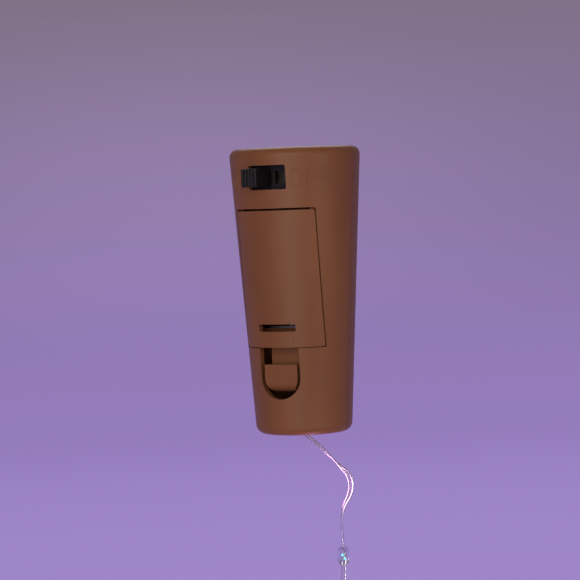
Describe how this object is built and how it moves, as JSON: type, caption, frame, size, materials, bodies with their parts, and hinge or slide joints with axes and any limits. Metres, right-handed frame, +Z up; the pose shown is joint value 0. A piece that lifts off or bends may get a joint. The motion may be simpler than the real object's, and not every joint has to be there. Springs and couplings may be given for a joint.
{
  "type": "cork bottle light",
  "caption": "Battery light shaped like a tapered cork: two-half casing with slide switch, latched battery door, button cells, and a thin twin wire carrying small clear lamp drops.",
  "frame": {"origin": "on the casing's axis, at the height where the tapered casing seats in the bottle's mouth, 21 mm above its lower end", "axes": "+Z up along the casing's axis, out of the bottle; -Y towards the side with the switch and the battery door; +X to the right of someone who looks at that side"},
  "size_m": [0.0285, 0.0241, 0.1062],
  "materials": {
    "casing_plastic": "satin moulded plastic, cork brown",
    "black_plastic": "matte black",
    "switch_steel": "blackened steel",
    "switch_plastic": "black moulded plastic",
    "contact_brass": "silvered brass",
    "board_laminate": "green solder mask",
    "resistor_black": "black overglaze",
    "solder": "tinned ends",
    "cell_can": "polished steel",
    "cell_cap": "satin steel",
    "cell_gasket": "dark nylon",
    "contact_steel": "nickel-plated spring steel",
    "lead_red": "red vinyl insulation",
    "lead_white": "white vinyl insulation",
    "lead_black": "black vinyl insulation",
    "sleeve": "heat-shrink sleeve",
    "seal_glue": "hot-melt glue",
    "silver_wire": "lacquered silver-coloured wire",
    "tie": "white twist tie",
    "drop_epoxy": "clear epoxy drop",
    "led_chip": "surface-mounted lamp chip"
  },
  "bodies": {
    "casing": {"front_shell": "casing_plastic", "back_shell": "casing_plastic", "switch_frame": "switch_steel", "switch_base": "switch_plastic", "switch_terminals": "contact_brass", "circuit_board": "board_laminate", "resistor": "resistor_black", "resistor_caps": "solder", "cell_1_can": "cell_can", "cell_2_can": "cell_can", "cell_3_can": "cell_can", "cell_1_cap": "cell_cap", "cell_2_cap": "cell_cap", "cell_3_cap": "cell_cap", "cell_1_gasket": "cell_gasket", "cell_2_gasket": "cell_gasket", "cell_3_gasket": "cell_gasket", "positive_contact": "contact_steel", "negative_contact": "contact_steel", "negative_spring": "contact_steel", "lead_positive": "lead_red", "lead_supply": "lead_white", "lead_return": "lead_black", "solder_sleeves": "sleeve", "wire_seal": "seal_glue", "wire_tails": "silver_wire", "light_wire": "silver_wire", "wire_coil": "silver_wire", "wire_tie": "tie", "led_drop_01": "drop_epoxy", "led_drop_02": "drop_epoxy", "led_drop_03": "drop_epoxy", "led_drop_04": "drop_epoxy", "led_drop_05": "drop_epoxy", "led_drop_06": "drop_epoxy", "led_drop_07": "drop_epoxy", "led_drop_08": "drop_epoxy", "led_drop_09": "drop_epoxy", "led_drop_10": "drop_epoxy", "led_chips": "led_chip"},
    "battery_door": {"battery_door": "casing_plastic"},
    "switch": {"switch_knob": "black_plastic", "switch_wiper": "contact_brass"}
  },
  "joints": [
    {"name": "door_release", "type": "slide", "parent": "casing", "child": "battery_door", "axis": [0, -1, 0], "range_m": [0, 0.014]},
    {"name": "switch_slide", "type": "slide", "parent": "casing", "child": "switch", "axis": [1, 0, 0], "range_m": [0, 0.0036]}
  ]
}
